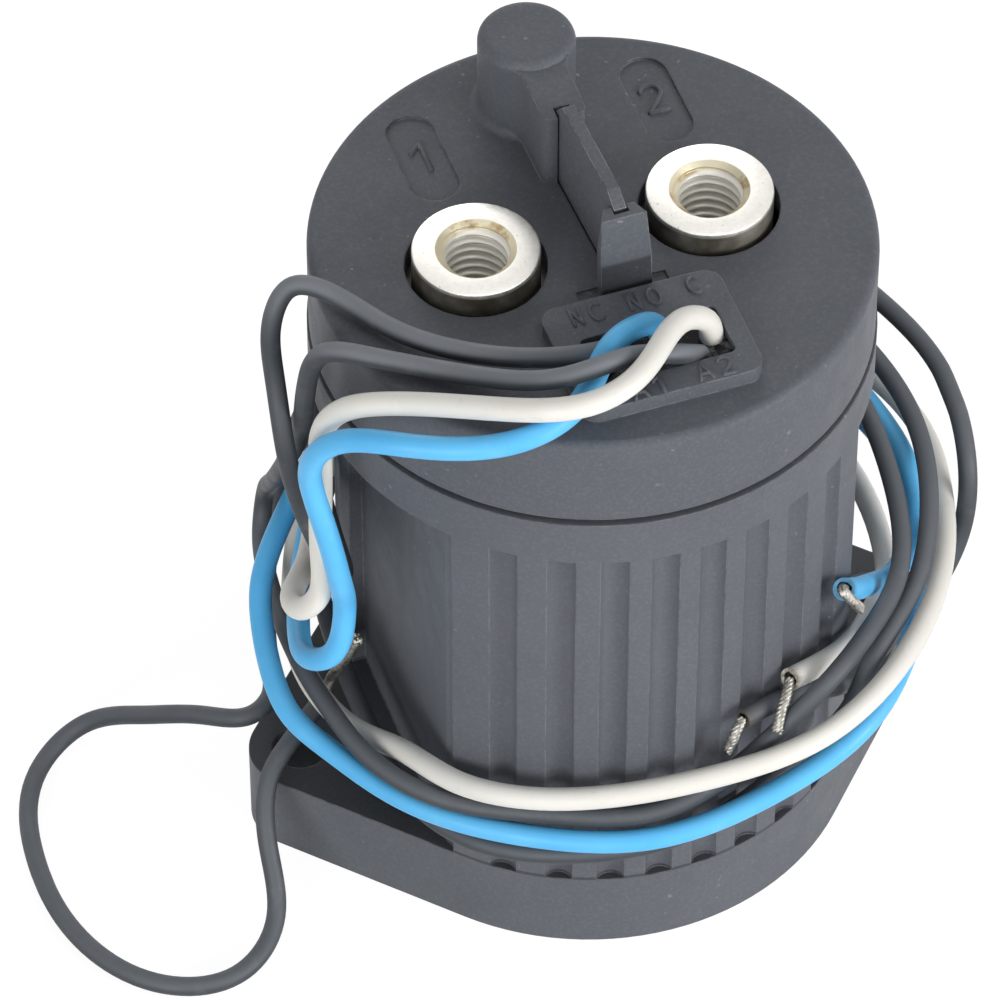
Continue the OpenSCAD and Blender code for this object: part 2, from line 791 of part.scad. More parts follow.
module shaft() {
    color([0.7, 0.7, 0.72])
        translate([0, 0, shaft_z])
            cylinder(r = shaft_r, h = shaft_top - shaft_z);
}

module shaft_collar() {
    color([0.82, 0.8, 0.72])
        difference() {
            union() {
                translate([0, 0, collar_z])
                    cylinder(r = collar_r, h = collar_t);
                translate([-arm_w / 2, aux_y - arm_w / 2, collar_z])
                    cube([arm_w, -aux_y + arm_w / 2, arm_t]);
            }
            translate([0, 0, collar_z - over])
                cylinder(r = shaft_r, h = collar_t + 2 * over);
        }
}

module shaft_clip() {
    color([0.5, 0.5, 0.52])
        translate([0, 0, bridge_top])
            difference() {
                cylinder(r = clip_r, h = clip_t);
                translate([0, 0, -over])
                    cylinder(r = shaft_r, h = clip_t + 2 * over);
            }
}

module return_spring() {
    color([0.7, 0.7, 0.68])
        tube(helix(return_mean_r, core_top - core_pocket + return_wire,
                pole_z + pole_pocket - return_wire, 5, 12),
            return_wire, 6, [1, 0, 0]);
}

module contact_spring() {
    color([0.7, 0.7, 0.68])
        tube(helix(contact_mean_r, collar_z + collar_t + contact_wire, bridge_z - contact_wire, 3, 12),
            contact_wire, 6, [1, 0, 0]);
}

module contact_bridge() {
    color([0.75, 0.45, 0.26])
        difference() {
            translate([-bridge_l / 2, -bridge_w / 2, bridge_z])
                cube([bridge_l, bridge_w, bridge_t]);
            translate([0, 0, bridge_z - over])
                cylinder(r = shaft_r + slide_gap, h = bridge_t + 2 * over);
        }
}

module bridge_tips() {
    color([0.8, 0.8, 0.78])
        for (x = [-1, 1])
            translate([x * (bridge_l / 2 - tip_r), 0, bridge_top])
                cylinder(r = tip_r, h = tip_t);
}

module lead(route, d) {
    tube(smooth(route, lead_steps), d, lead_sides, [1, 0, 0]);
}

module lead_black_1() {
    color([0.16, 0.17, 0.18])
        lead(black_1_route, black_d);
}

module lead_black_2() {
    color([0.16, 0.17, 0.18])
        lead(black_2_route, black_d);
}

module lead_blue() {
    color([0.15, 0.55, 0.9])
        lead(blue_route, colour_d);
}

module lead_white() {
    color([0.92, 0.91, 0.87])
        lead(white_route, colour_d);
}

module strand_black_1() {
    color([0.6, 0.6, 0.58])
        lead(strand_black_1_route, strand_d);
}

module strand_black_2() {
    color([0.6, 0.6, 0.58])
        lead(strand_black_2_route, strand_d);
}

module strand_blue() {
    color([0.6, 0.6, 0.58])
        lead(strand_blue_route, strand_d);
}

module strand_white() {
    color([0.6, 0.6, 0.58])
        lead(strand_white_route, strand_d);
}

housing();
cap();
barrier_plate();
potting();
terminal_1();
terminal_2();
arc_chamber();
top_plate();
yoke();
core_tube();
pole_piece();
rest_pad();
coil_bobbin();
coil_winding();
arc_magnets();
exhaust_tube();
aux_switch();
aux_button();
moving_core();
shaft();
shaft_collar();
shaft_clip();
return_spring();
contact_spring();
contact_bridge();
bridge_tips();
lead_black_1();
lead_black_2();
lead_blue();
lead_white();
strand_black_1();
strand_black_2();
strand_blue();
strand_white();
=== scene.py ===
"""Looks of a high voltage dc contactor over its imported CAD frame. Metres, +Z up, front towards -Y.

Places and sizes on the part are written in millimetres and multiplied by MM where a mesh or a shader takes
them. The camera, the floor and the lights are in metres.
"""

import math

import bpy
from mathutils import Matrix, Vector


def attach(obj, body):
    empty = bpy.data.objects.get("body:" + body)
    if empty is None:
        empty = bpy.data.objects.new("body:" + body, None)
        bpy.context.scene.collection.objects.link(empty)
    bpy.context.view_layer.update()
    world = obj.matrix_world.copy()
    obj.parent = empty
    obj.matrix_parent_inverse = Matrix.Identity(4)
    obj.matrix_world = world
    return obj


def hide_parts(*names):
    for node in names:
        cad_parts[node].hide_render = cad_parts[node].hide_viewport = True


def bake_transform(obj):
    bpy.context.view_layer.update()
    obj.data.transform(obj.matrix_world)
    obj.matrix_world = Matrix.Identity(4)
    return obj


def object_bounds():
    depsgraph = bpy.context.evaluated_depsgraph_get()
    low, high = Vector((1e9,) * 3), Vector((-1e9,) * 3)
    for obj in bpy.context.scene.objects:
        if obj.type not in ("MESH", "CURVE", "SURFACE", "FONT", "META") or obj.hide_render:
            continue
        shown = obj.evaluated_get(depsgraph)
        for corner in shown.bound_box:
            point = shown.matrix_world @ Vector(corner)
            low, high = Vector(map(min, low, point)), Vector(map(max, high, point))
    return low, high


MM = 0.001
FRAME_TOP = 85.1
OVAL_FLOOR = 82.95
TERMINAL_X = 13.4
TERMINAL_R = 7.0
TERMINAL_TOP = 85.8
FLANGE_BOTTOM = 78.0
STEM_R = 5.0
CONTACT_FACE = 64.95
MOUTH_R = 4.4
THREAD_PITCH = 1.25
THREAD_MINOR = 3.35
THREAD_MAJOR = 3.94
BORE_DEPTH = 11.0
SPRING_R = 2.9
BLACK_D = 2.2
COLOUR_D = 2.6

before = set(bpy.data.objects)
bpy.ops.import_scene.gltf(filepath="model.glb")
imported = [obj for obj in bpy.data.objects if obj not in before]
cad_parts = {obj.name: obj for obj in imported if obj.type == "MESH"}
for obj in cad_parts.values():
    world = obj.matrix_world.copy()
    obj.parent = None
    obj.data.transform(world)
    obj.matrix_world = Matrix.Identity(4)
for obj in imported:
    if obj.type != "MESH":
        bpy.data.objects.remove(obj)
cad_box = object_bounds()
scene = bpy.context.scene
scene.view_settings.view_transform = "Standard"


# camera

def make_camera():
    """The photograph's viewpoint: a long lens looking down on the cap from the front left."""
    data = bpy.data.cameras.new("camera")
    data.sensor_width = 36.0
    data.lens = 259.2
    data.clip_start = 0.01
    data.clip_end = 20.0
    camera = bpy.data.objects.new("camera", data)
    right = Vector((0.94269, -0.33368, 0.0))
    up = Vector((0.24914, 0.70386, 0.66521))
    back = Vector((-0.22197, -0.62709, 0.74665))
    turn = Matrix((right, up, back)).transposed().to_4x4()
    camera.matrix_world = Matrix.Translation(Vector((-0.18932, -0.50470, 0.64513))) @ turn
    scene.collection.objects.link(camera)
    scene.camera = camera


make_camera()


# shader helpers

class Shader:
    """A Principled material with short calls for the nodes that feed it."""

    def __init__(self, name, **sockets):
        self.material = bpy.data.materials.new(name)
        self.material.use_nodes = True
        self.tree = self.material.node_tree
        self.bsdf = self.tree.nodes["Principled BSDF"]
        for key, value in sockets.items():
            self.put(self.bsdf.inputs[key.replace("_", " ")], value)
        self.coords = self.add("ShaderNodeTexCoord").outputs["Object"]

    def put(self, socket, value):
        if isinstance(value, bpy.types.NodeSocket):
            self.tree.links.new(value, socket)
        else:
            socket.default_value = value

    def add(self, kind, inputs=None, **props):
        node = self.tree.nodes.new(kind)
        for key, value in props.items():
            setattr(node, key, value)
        for key, value in (inputs or {}).items():
            self.put(node.inputs[key], value)
        return node

    def noise(self, scale, detail, roughness=0.5, coords=None):
        node = self.add(
            "ShaderNodeTexNoise",
            {"Vector": coords or self.coords, "Scale": scale, "Detail": detail, "Roughness": roughness},
        )
        return node.outputs["Fac"]

    def stretch(self, scale):
        node = self.add("ShaderNodeMapping", {"Vector": self.coords, "Scale": scale})
        return node.outputs["Vector"]

    def ramp(self, fac, low, high, a=0.0, b=1.0):
        node = self.add(
            "ShaderNodeMapRange",
            {"Value": fac, "From Min": low, "From Max": high, "To Min": a, "To Max": b},
            interpolation_type="SMOOTHSTEP",
        )
        return node.outputs["Result"]

    def math(self, operation, a, b=0.0):
        return self.add("ShaderNodeMath", {0: a, 1: b}, operation=operation).outputs[0]

    def mix(self, fac, a, b):
        node = self.add("ShaderNodeMix", {"Factor": fac}, data_type="RGBA")
        self.put(node.inputs[6], a)
        self.put(node.inputs[7], b)
        return node.outputs[2]

    def bump(self, height, strength, distance, normal=None):
        inputs = {"Height": height, "Strength": strength, "Distance": distance}
        if normal is not None:
            inputs["Normal"] = normal
        return self.add("ShaderNodeBump", inputs).outputs["Normal"]

    def rounded(self, radius, samples):
        return self.add("ShaderNodeBevel", {"Radius": radius}, samples=samples).outputs["Normal"]

    def edges(self, rounded, low, high):
        """1 along sharp edges, where the rounded normal leaves the face's own."""
        normal = self.add("ShaderNodeNewGeometry").outputs["Normal"]
        dot = self.add("ShaderNodeVectorMath", {0: rounded, 1: normal}, operation="DOT_PRODUCT")
        return self.ramp(self.math("SUBTRACT", 1.0, dot.outputs["Value"]), low, high)

    def zone(self, low, high, soft):
        """1 inside a box given in millimetres, fading out at its sides over twice soft."""
        split = self.add("ShaderNodeSeparateXYZ", {"Vector": self.coords})
        inside = 1.0
        for axis, a, b in zip("XYZ", low, high):
            for side, before, after in ((a, 0.0, 1.0), (b, 1.0, 0.0)):
                part = self.ramp(split.outputs[axis], (side - soft) * MM, (side + soft) * MM, before, after)
                inside = self.math("MULTIPLY", part, inside)
        return inside

    def color(self, value):
        self.put(self.bsdf.inputs["Base Color"], value)

    def rough(self, value):
        self.put(self.bsdf.inputs["Roughness"], value)

    def normal(self, value):
        self.put(self.bsdf.inputs["Normal"], value)


def rgb(r, g, b):
    return (r, g, b, 1.0)


# materials

def plastic(name, base, dark, pale, edge_wear_and_highlight, painted_shade=None):
    """Matte moulded plastic: faint cloudy tone, sparse dust specks, hairline scratches and thin pale edges,
    partly edge wear and partly painted highlight.

    The last argument gives a darker zone of painted shade: its two corners, how soft its sides are, and the
    share of tone left there.
    """
    s = Shader(name, Specular_IOR_Level=0.22)
    tone = s.mix(s.ramp(s.noise(34.0, 4.0, 0.55), 0.34, 0.68), dark, base)
    grain = s.noise(2300.0, 2.0, 0.6)
    tone = s.mix(s.ramp(grain, 0.40, 0.80, 0.0, 0.10), tone, pale)
    specks = s.ramp(s.noise(1130.0, 1.0, 0.4), 0.715, 0.76)
    patch = s.ramp(s.noise(55.0, 3.0, 0.6), 0.45, 0.68)
    tone = s.mix(s.math("MULTIPLY", s.math("MULTIPLY", specks, patch), 0.50), tone, pale)
    scratch = s.noise(84.0, 3.0, 0.7, s.stretch((1.0, 14.0, 5.0)))
    tone = s.mix(s.ramp(scratch, 0.725, 0.745, 0.0, 0.22), tone, pale)
    edge = s.edges(s.rounded(0.22 * MM, 5), 0.03, 0.22)
    rub = s.ramp(s.noise(380.0, 4.0, 0.7), 0.37, 0.58)
    # Painted shade: the given zone is darkened towards black.
    if painted_shade:
        low, high, soft, left = painted_shade
        tone = s.mix(s.zone(low, high, soft), tone, s.mix(left, rgb(0.0, 0.0, 0.0), tone))
    # Pale edges in rubbed patches: partly edge wear, partly painted highlight along the rounded edges.
    tone = s.mix(s.math("MULTIPLY", s.math("MULTIPLY", edge, rub), edge_wear_and_highlight), tone, pale)
    s.color(tone)
    s.rough(s.ramp(s.noise(240.0, 3.0, 0.6), 0.3, 0.7, 0.50, 0.62))
    s.normal(s.bump(grain, 0.05, 0.05 * MM, s.rounded(0.32 * MM, 5)))
    return s.material


def resin():
    """Black potting, glossy with dull frosted scuffs."""
    s = Shader("potting_resin", Specular_IOR_Level=0.14)
    frost = s.zone((5.0, -21.4, 82.0), (8.6, -18.2, 87.0), 1.0)
    scuff = s.ramp(s.math("ADD", s.noise(520.0, 5.0, 0.7), s.math("MULTIPLY", frost, 0.12)), 0.54, 0.68)
    s.color(s.mix(scuff, rgb(0.006, 0.006, 0.007), rgb(0.12, 0.125, 0.13)))
    s.rough(s.ramp(scuff, 0.0, 1.0, 0.16, 0.62))
    s.normal(s.bump(s.noise(300.0, 4.0, 0.6), 0.5, 0.25 * MM))
    return s.material


def terminal_metal():
    """Plated terminal: pale warm silver face, stained chamfer, thread crests lighter than the roots, which
    are painted darker as painted shade, and dull dark tarnished sides, the left one painted darker as
    painted reflection.
    """
    s = Shader("terminal_metal")
    split = s.add("ShaderNodeSeparateXYZ", {"Vector": s.coords})
    across = s.math("SUBTRACT", s.math("ABSOLUTE", split.outputs["X"]), TERMINAL_X * MM)
    radius = s.math("SQRT", s.math("ADD", s.math("MULTIPLY", across, across),
                                   s.math("MULTIPLY", split.outputs["Y"], split.outputs["Y"])))
    height = split.outputs["Z"]
    fine = s.noise(2300.0, 3.0, 0.7)
    tone = s.mix(s.ramp(fine, 0.35, 0.75), rgb(0.77, 0.755, 0.71), rgb(0.70, 0.68, 0.63))
    spots = s.ramp(s.noise(620.0, 4.0, 0.7), 0.66, 0.74)
    tone = s.mix(s.math("MULTIPLY", spots, 0.40), tone, rgb(0.50, 0.44, 0.33))
    pits = s.ramp(s.noise(1500.0, 2.0, 0.5), 0.70, 0.76)
    tone = s.mix(s.math("MULTIPLY", pits, 0.65), tone, rgb(0.34, 0.31, 0.26))
    bore = s.ramp(radius, (MOUTH_R - 0.02) * MM, (MOUTH_R + 0.06) * MM, 1.0, 0.0)
    # Painted shade: the thread's roots are painted darker than its crests.
    root_shade = s.ramp(radius, (THREAD_MINOR + 0.10) * MM, (THREAD_MAJOR + 0.01) * MM)
    wall = s.mix(root_shade, rgb(0.82, 0.80, 0.74), rgb(0.70, 0.675, 0.61))
    cone = s.ramp(height, (TERMINAL_TOP - 1.05) * MM, (TERMINAL_TOP - 0.9) * MM)
    stain = s.ramp(s.noise(190.0, 5.0, 0.65), 0.47, 0.60, 0.0, 0.9)
    mouth = s.mix(stain, rgb(0.75, 0.68, 0.50), rgb(0.42, 0.29, 0.11))
    tone = s.mix(bore, tone, s.mix(cone, wall, mouth))
    side = s.math("MULTIPLY", s.ramp(radius, (TERMINAL_R - 0.15) * MM, (TERMINAL_R - 0.03) * MM),
                  s.ramp(height, (TERMINAL_TOP - 0.70) * MM, (TERMINAL_TOP - 0.25) * MM, 1.0, 0.0))
    dull = s.math("MULTIPLY", side, s.ramp(s.noise(190.0, 4.0), 0.30, 0.62, 0.72, 1.0))
    # Painted reflection: the left terminal's side is painted darker than the right's, for the dark leads
    # and cap it reflects; the dark brown of both is tarnish.
    reflection_share = s.ramp(split.outputs["X"], -5.0 * MM, 5.0 * MM)
    tarnish_and_reflection = s.mix(reflection_share, rgb(0.085, 0.078, 0.055), rgb(0.125, 0.112, 0.086))
    s.color(s.mix(dull, tone, tarnish_and_reflection))
    s.put(s.bsdf.inputs["Metallic"], s.ramp(bore, 0.0, 1.0, 1.0, 0.32))
    grain = s.ramp(s.noise(900.0, 4.0, 0.7), 0.3, 0.7, 0.34, 0.46)
    s.rough(s.math("ADD", grain, s.math("MULTIPLY", dull, 0.16)))
    s.normal(s.bump(fine, 0.08, 0.04 * MM, s.rounded(0.12 * MM, 4)))
    return s.material


def insulation(name, base, dark, pale, rough, scuffs, grime, painted_top_sheen=None):
    """Wire insulation: slight tone drift, dull rubbed marks, and grime that thickens at the cut end.

    The last argument, if given, is a paler tone painted on upward sides, more so higher up: painted sheen
    of the light from above.
    """
    s = Shader(name, Specular_IOR_Level=0.30)
    drift = s.noise(70.0, 3.0, 0.6)
    tone = s.mix(s.ramp(drift, 0.32, 0.70), dark, base)
    if painted_top_sheen:
        # Painted highlight: upward sides are painted paler, more so higher up, for the sheen of the light
        # from above.
        normal = s.add("ShaderNodeNewGeometry").outputs["Normal"]
        upward = s.add("ShaderNodeSeparateXYZ", {"Vector": normal}).outputs["Z"]
        height = s.add("ShaderNodeSeparateXYZ", {"Vector": s.coords}).outputs["Z"]
        share = s.ramp(height, 40.0 * MM, 84.0 * MM, 0.45, 1.0)
        tone = s.mix(s.math("MULTIPLY", s.ramp(upward, 0.0, 0.85), share), tone, painted_top_sheen)
    rub = s.ramp(s.noise(260.0, 5.0, 0.7), 0.55, 0.72)
    tone = s.mix(s.math("MULTIPLY", rub, scuffs), tone, pale)
    dirt = s.math("MULTIPLY", s.ramp(s.noise(700.0, 4.0, 0.7), 0.60, 0.72), grime)
    cut = s.add("ShaderNodeAttribute", attribute_name="cut_end").outputs["Fac"]
    blotch = s.ramp(s.noise(1300.0, 4.0, 0.7), 0.36, 0.56, 0.40, 1.0)
    soot = s.math("MULTIPLY", s.ramp(cut, 0.30, 0.56), blotch)
    soot = s.math("MULTIPLY", soot, min(1.0, 8.0 * grime))
    tone = s.mix(s.math("MAXIMUM", dirt, soot), tone, rgb(0.12, 0.085, 0.05))
    s.color(tone)
    s.rough(s.ramp(s.noise(400.0, 3.0, 0.6), 0.3, 0.7, rough - 0.06, rough + 0.08))
    s.normal(s.bump(s.noise(850.0, 3.0, 0.6), 0.08, 0.08 * MM))
    return s.material


def metal(name, base, dark, rough, grain=1200.0):
    """Bare or plated metal with a fine grain and faint stains."""
    s = Shader(name, Metallic=1.0)
    tone = s.mix(s.ramp(s.noise(grain, 3.0, 0.7), 0.35, 0.7), base, dark)
    s.color(s.mix(s.ramp(s.noise(150.0, 4.0), 0.5, 0.75, 0.0, 0.4), tone, dark))
    s.rough(s.ramp(s.noise(grain * 0.4, 3.0), 0.3, 0.7, rough - 0.06, rough + 0.10))
    s.normal(s.bump(s.noise(grain, 2.0), 0.08, 0.04 * MM, s.rounded(0.2 * MM, 4)))
    return s.material


def moulded(name, base, dark, rough):
    """A plain inner piece: ceramic, rubber or moulded plastic."""
    s = Shader(name)
    s.color(s.mix(s.ramp(s.noise(90.0, 4.0), 0.35, 0.7), base, dark))
    s.rough(s.ramp(s.noise(500.0, 3.0), 0.3, 0.7, rough - 0.05, rough + 0.08))
    s.normal(s.bump(s.noise(1500.0, 2.0), 0.10, 0.05 * MM, s.rounded(0.2 * MM, 4)))
    return s.material


def winding():
    """Enamelled copper: fine turns run round the coil, with painted shade between them."""
    s = Shader("coil_copper", Metallic=1.0)
    height = s.add("ShaderNodeSeparateXYZ", {"Vector": s.coords}).outputs["Z"]
    turns = s.math("SINE", s.math("MULTIPLY", height, 2.0 * math.pi / (0.35 * MM)))
    # Painted shade: the colour darkens between the turns.
    s.color(s.mix(s.ramp(turns, -1.0, 1.0), rgb(0.30, 0.11, 0.05), rgb(0.72, 0.34, 0.17)))
    s.rough(s.ramp(s.noise(400.0, 3.0), 0.3, 0.7, 0.28, 0.42))
    s.normal(s.bump(turns, 0.4, 0.10 * MM))
    return s.material


# Zones of painted shade: the tops of the mounting ears, shaded by the body and leads, and the front foot of
# the lead post behind the raised frame.
EAR_TOP_SHADE = ((-60.0, -40.0, 10.82), (60.0, 40.0, 11.3), 0.1, 0.50)
POST_FOOT_SHADE = ((-2.7, -10.2, 83.6), (3.5, -8.9, 88.0), 0.3, 0.45)
HOUSING = plastic("housing_plastic", rgb(0.112, 0.120, 0.137), rgb(0.100, 0.108, 0.124),
                  rgb(0.34, 0.345, 0.35), edge_wear_and_highlight=0.75, painted_shade=EAR_TOP_SHADE)
CAP = plastic("cap_plastic", rgb(0.104, 0.112, 0.129), rgb(0.093, 0.101, 0.117),
              rgb(0.36, 0.365, 0.37), edge_wear_and_highlight=0.85, painted_shade=POST_FOOT_SHADE)
BARRIER = plastic("barrier_plastic", rgb(0.098, 0.106, 0.122), rgb(0.088, 0.096, 0.111),
                  rgb(0.50, 0.50, 0.50), edge_wear_and_highlight=1.0)
RESIN = resin()
TERMINAL = terminal_metal()
BLACK_WIRE = insulation("black_insulation", rgb(0.052, 0.059, 0.068), rgb(0.043, 0.049, 0.057),
                        rgb(0.20, 0.21, 0.22), rough=0.55, scuffs=0.20, grime=0.05,
                        painted_top_sheen=rgb(0.175, 0.190, 0.210))
BLUE_WIRE = insulation("blue_insulation", rgb(0.125, 0.520, 0.900), rgb(0.100, 0.470, 0.860),
                       rgb(0.22, 0.56, 0.88), rough=0.42, scuffs=0.30, grime=0.06)
WHITE_WIRE = insulation("white_insulation", rgb(0.800, 0.785, 0.735), rgb(0.765, 0.745, 0.690),
                        rgb(0.83, 0.82, 0.78), rough=0.48, scuffs=0.40, grime=0.10)
TINNED = metal("tinned_strands", rgb(0.50, 0.485, 0.45), rgb(0.20, 0.19, 0.16), 0.40, grain=2400.0)
# A near-black disc of painted shade for the floor of each lead's bore.
BORE_SHADE = moulded("wire_bore_shade", rgb(0.060, 0.055, 0.048), rgb(0.030, 0.028, 0.025), 0.7)
STEEL = metal("magnetic_steel", rgb(0.56, 0.57, 0.59), rgb(0.40, 0.41, 0.42), 0.34)
SHAFT_STEEL = metal("shaft_steel", rgb(0.68, 0.68, 0.70), rgb(0.55, 0.55, 0.56), 0.22)
BRASS = metal("brass_tube", rgb(0.70, 0.56, 0.28), rgb(0.55, 0.42, 0.20), 0.28)
COPPER = metal("copper", rgb(0.74, 0.40, 0.24), rgb(0.55, 0.27, 0.15), 0.30)
MAGNET = metal("magnet", rgb(0.22, 0.22, 0.23), rgb(0.14, 0.14, 0.15), 0.45)
SILVER = metal("contact_alloy", rgb(0.76, 0.75, 0.72), rgb(0.60, 0.58, 0.54), 0.28)
CERAMIC = moulded("ceramic", rgb(0.84, 0.83, 0.78), rgb(0.77, 0.76, 0.70), 0.55)
INSULATOR = moulded("insulator_plastic", rgb(0.80, 0.78, 0.70), rgb(0.72, 0.70, 0.62), 0.45)
RUBBER = moulded("rest_rubber", rgb(0.045, 0.045, 0.045), rgb(0.030, 0.030, 0.030), 0.75)
SWITCH = moulded("switch_plastic", rgb(0.055, 0.055, 0.058), rgb(0.040, 0.040, 0.042), 0.45)
BUTTON = moulded("button_plastic", rgb(0.55, 0.10, 0.07), rgb(0.45, 0.08, 0.05), 0.35)
COIL = winding()

NODE_MATERIALS = {
    "housing": HOUSING, "cap": CAP, "barrier_plate": BARRIER, "potting": RESIN,
    "arc_chamber": CERAMIC, "top_plate": STEEL, "yoke": STEEL, "core_tube": BRASS, "pole_piece": STEEL,
    "rest_pad": RUBBER, "coil_bobbin": INSULATOR, "coil_winding": COIL, "arc_magnets": MAGNET,
    "exhaust_tube": COPPER, "aux_switch": SWITCH, "aux_button": BUTTON, "moving_core": STEEL,
    "shaft": SHAFT_STEEL, "shaft_collar": INSULATOR, "shaft_clip": SHAFT_STEEL,
    "contact_bridge": COPPER, "bridge_tips": SILVER,
}
for cad_node, cad_material in NODE_MATERIALS.items():
    cad_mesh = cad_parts[cad_node].data
    cad_mesh.materials.clear()
    cad_mesh.materials.append(cad_material)


# mesh helpers

def add_mesh(name, verts, faces, material, smooth=True):
    mesh = bpy.data.meshes.new(name)
    mesh.from_pydata(verts, [], faces)
    mesh.update()
    obj = bpy.data.objects.new(name, mesh)
    scene.collection.objects.link(obj)
    mesh.materials.append(material)
    for polygon in mesh.polygons:
        polygon.use_smooth = smooth
    return obj


def smooth_route(points, steps):
    """Points on the smooth curve through a route given in millimetres: a natural cubic spline."""
    p = [Vector(q) * MM for q in points]
    span = [(b - a).length ** 0.75 for a, b in zip(p, p[1:])]
    bend = [Vector((0.0, 0.0, 0.0)) for _ in p]
    carry = [0.0]
    for i in range(1, len(span)):
        pivot = 2.0 * (span[i - 1] + span[i]) - span[i - 1] * carry[i - 1]
        carry.append(span[i] / pivot)
        turn = (p[i + 1] - p[i]) / span[i] - (p[i] - p[i - 1]) / span[i - 1]
        bend[i] = (6.0 * turn - span[i - 1] * bend[i - 1]) / pivot
    for i in range(len(span) - 1, 0, -1):
        bend[i] = bend[i] - carry[i] * bend[i + 1]
    out = []
    for i, width in enumerate(span):
        for k in range(steps):
            t = k / steps
            s = 1.0 - t
            sag = (s ** 3 - s) * bend[i] + (t ** 3 - t) * bend[i + 1]
            out.append(s * p[i] + t * p[i + 1] + sag * (width * width / 6.0))
    out.append(p[-1])
    return out


def frames_along(path):
    """A tangent and a steady pair of normals at each point of a path."""
    out = []
    start = (path[1] - path[0]).normalized()
    normal = Vector((0.0, 0.0, 1.0)) if abs(start.z) < 0.8 else Vector((1.0, 0.0, 0.0))
    for i, point in enumerate(path):
        tangent = (path[min(i + 1, len(path) - 1)] - path[max(i - 1, 0)]).normalized()
        normal = (normal - tangent * normal.dot(tangent)).normalized()
        out.append((point, tangent, normal, tangent.cross(normal)))
    return out


def tube_data(path, radius, sides, verts, faces):
    """Add a capped tube along path to verts and faces. radius is a number or one number per point."""
    base = len(verts)
    rings = frames_along(path)
    for i, (point, _, u, v) in enumerate(rings):
        r = radius[i] if isinstance(radius, list) else radius
        for k in range(sides):
            a = 2.0 * math.pi * k / sides
            verts.append(point + u * (r * math.cos(a)) + v * (r * math.sin(a)))
    for i in range(len(rings) - 1):
        for k in range(sides):
            n = (k + 1) % sides
            row = base + i * sides
            faces.append((row + k, row + n, row + sides + n, row + sides + k))
    for row, order in ((base, -1), (base + (len(rings) - 1) * sides, 1)):
        faces.append(tuple(row + k for k in range(sides))[::order])


def path_length(path):
    return sum((b - a).length for a, b in zip(path, path[1:]))


# leads

BLACK_1 = [
    (-3, -17, 84), (-8, -19, 86.5), (-15, -16.5, 86), (-25, -8, 85), (-29.5, -1, 85), (-33.5, 2, 85),
    (-36, 1.5, 81.5), (-36.5, 0, 74), (-36.5, -3, 66), (-35, -4, 56), (-33, -6.5, 49.5), (-31, -5.5, 45.5),
    (-30, 0, 44), (-29, 9, 45), (-25, 21.5, 47.5), (-13, 30.5, 48.5), (3, 33, 48.5), (20, 30.5, 47),
    (33.5, 18, 43.5), (38.5, 3, 41.5), (37, -10, 40.5), (32.2, -19.8, 36.7), (27.2, -24.6, 35),
    (23, -28, 33), (20.5, -28.5, 27), (14.5, -29.5, 22.5), (1, -33, 19.5), (-14, -31.2, 19),
    (-22.8, -25.6, 18.5), (-27.5, -16, 17.8), (-28.2, -5, 17.3), (-28, 6, 17.3), (-26, 20.5, 18.5),
    (-19, 33, 19), (-7, 40.5, 22), (13, 40.5, 33), (32.5, 29, 43), (41, 13.5, 44), (44, 2.5, 42),
    (43, -7.5, 37), (41, -10.5, 29), (36, -13.5, 24), (29, -17.5, 22.5), (21, -25, 27.5), (14, -29.5, 34),
    (6.4, -32.3, 35.7)]
BLACK_2 = [
    (4.5, -21, 84), (2, -22, 86), (-2.5, -22.5, 88), (-7, -24.5, 90.5), (-12, -24, 89.5), (-20, -17.5, 86),
    (-29, -10.5, 85), (-33, -7.5, 84), (-34.5, -5.5, 78), (-34, -1.5, 67), (-32.8, 9.5, 48.5),
    (-31.3, 20.2, 33.5), (-31, 23.6, 27.5), (-32.2, 21.5, 23.8), (-33.6, 15, 23.8), (-34.5, 6, 25),
    (-34.5, -2, 25.7), (-33.6, -8.5, 25.7), (-31.9, -14.5, 25), (-26.5, -22.4, 24.3), (-15, -29.5, 24.5),
    (-4, -33, 24.5), (4, -32.5, 26.5), (9.5, -33, 32), (16, -32.5, 38), (22.8, -27.6, 38.6),
    (30, -19.4, 38.6), (33, -8.5, 41), (32.5, 7, 43.5), (24.5, 22.5, 45), (12, 34.5, 43.5),
    (-2, 39.5, 38.5), (-19, 37.5, 29.5), (-26.5, 31, 22.5), (-30.5, 24, 19), (-33.5, 16.5, 17),
    (-35.5, 9, 16), (-37, 4.5, 15.5), (-40, 3, 15), (-44.5, 6, 13.5), (-50, 12, 9), (-56, 17, 4),
    (-62.5, 14, 1.5), (-66.5, 2, 1.5), (-65.5, -10, 1.5), (-59, -20, 1.5), (-50, -22, 1.5),
    (-43.5, -16.5, 3), (-42.5, -11, 9), (-40.5, -6, 14.5), (-37.5, -3.8, 16.6), (-34.5, -1.5, 17.2),
    (-31.8, 0.6, 17.6)]
